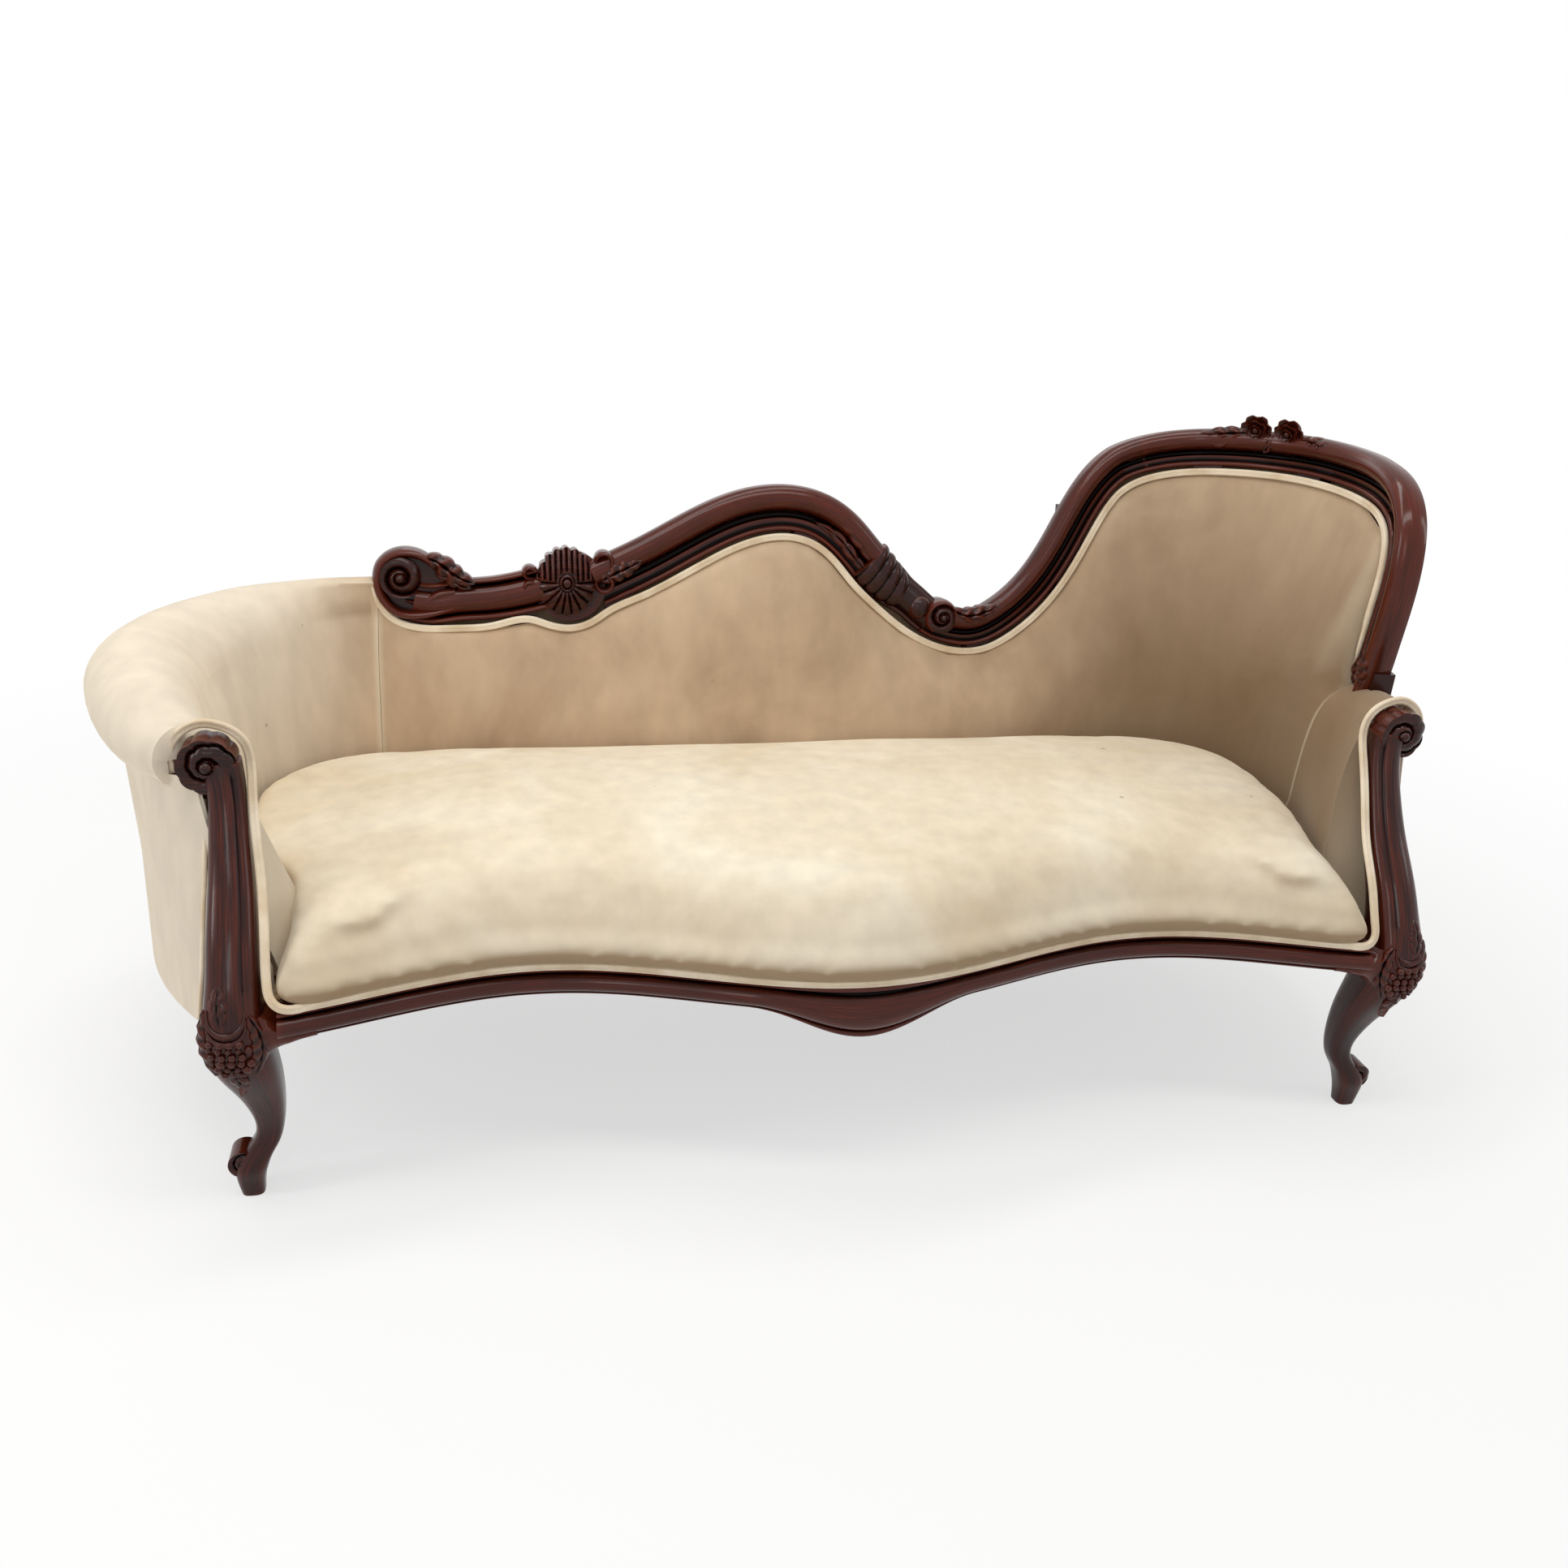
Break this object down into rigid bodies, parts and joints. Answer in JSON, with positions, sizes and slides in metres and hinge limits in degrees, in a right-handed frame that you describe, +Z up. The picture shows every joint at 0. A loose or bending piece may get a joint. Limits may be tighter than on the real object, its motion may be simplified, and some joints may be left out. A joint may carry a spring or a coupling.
{
  "type": "fainting couch",
  "caption": "Fainting couch with one low rolled arm and one high end, a carved serpentine wooden crest and front rail, carved arm posts and a crowned upholstered seat.",
  "frame": {"origin": "on the floor, under the middle of the couch's outline seen from above", "axes": "+X along the couch towards its high end, +Y towards the back, +Z up"},
  "size_m": [1.9785, 0.8491, 0.9775],
  "materials": {
    "show_wood": "French-polished dark mahogany, worn bright on the edges",
    "frame_wood": "plain sawn beech",
    "velvet": "worn sand-coloured velvet",
    "piping": "cream double piping",
    "spring_steel": "coppered spring wire, dulled",
    "webbing": "jute webbing",
    "hessian": "coarse jute hessian",
    "stuffing": "curled horsehair under calico",
    "bottom_cloth": "black cambric"
  },
  "bodies": {
    "root": {"arm_posts": "frame_wood", "arm_rail_left": "frame_wood", "arm_rail_right": "frame_wood", "back_posts": "frame_wood", "bottom_cloth": "bottom_cloth", "corner_blocks": "frame_wood", "crest_arch_rail": "show_wood", "crest_dowels": "frame_wood", "crest_flowers": "show_wood", "crest_hump_rail": "show_wood", "crest_low_rail": "show_wood", "crest_shell_boss": "show_wood", "crest_stile": "show_wood", "crest_sweep_rail": "show_wood", "front_rail": "show_wood", "front_upright_left": "show_wood", "front_upright_right": "show_wood", "high_end_pad": "velvet", "high_end_posts": "frame_wood", "inside_back_pad": "velvet", "long_arm_pad": "velvet", "outside_back": "velvet", "outside_high_end": "velvet", "outside_long_arm": "velvet", "outside_short_arm": "velvet", "piping_crest": "piping", "piping_left_post": "piping", "piping_right_post": "piping", "piping_seat_front": "piping", "rear_leg_left": "show_wood", "rear_leg_right": "show_wood", "seat_cover": "velvet", "seat_rail_back": "frame_wood", "seat_rail_left": "frame_wood", "seat_rail_right": "frame_wood", "seat_springs": "spring_steel", "seat_stretchers": "frame_wood", "seat_stuffing": "stuffing", "short_arm_pad": "velvet", "spring_hessian": "hessian", "tacking_rails_back": "frame_wood", "tacking_rails_left": "frame_wood", "tacking_rails_right": "frame_wood", "webbing_crosswise": "webbing", "webbing_lengthwise": "webbing"}
  },
  "joints": []
}
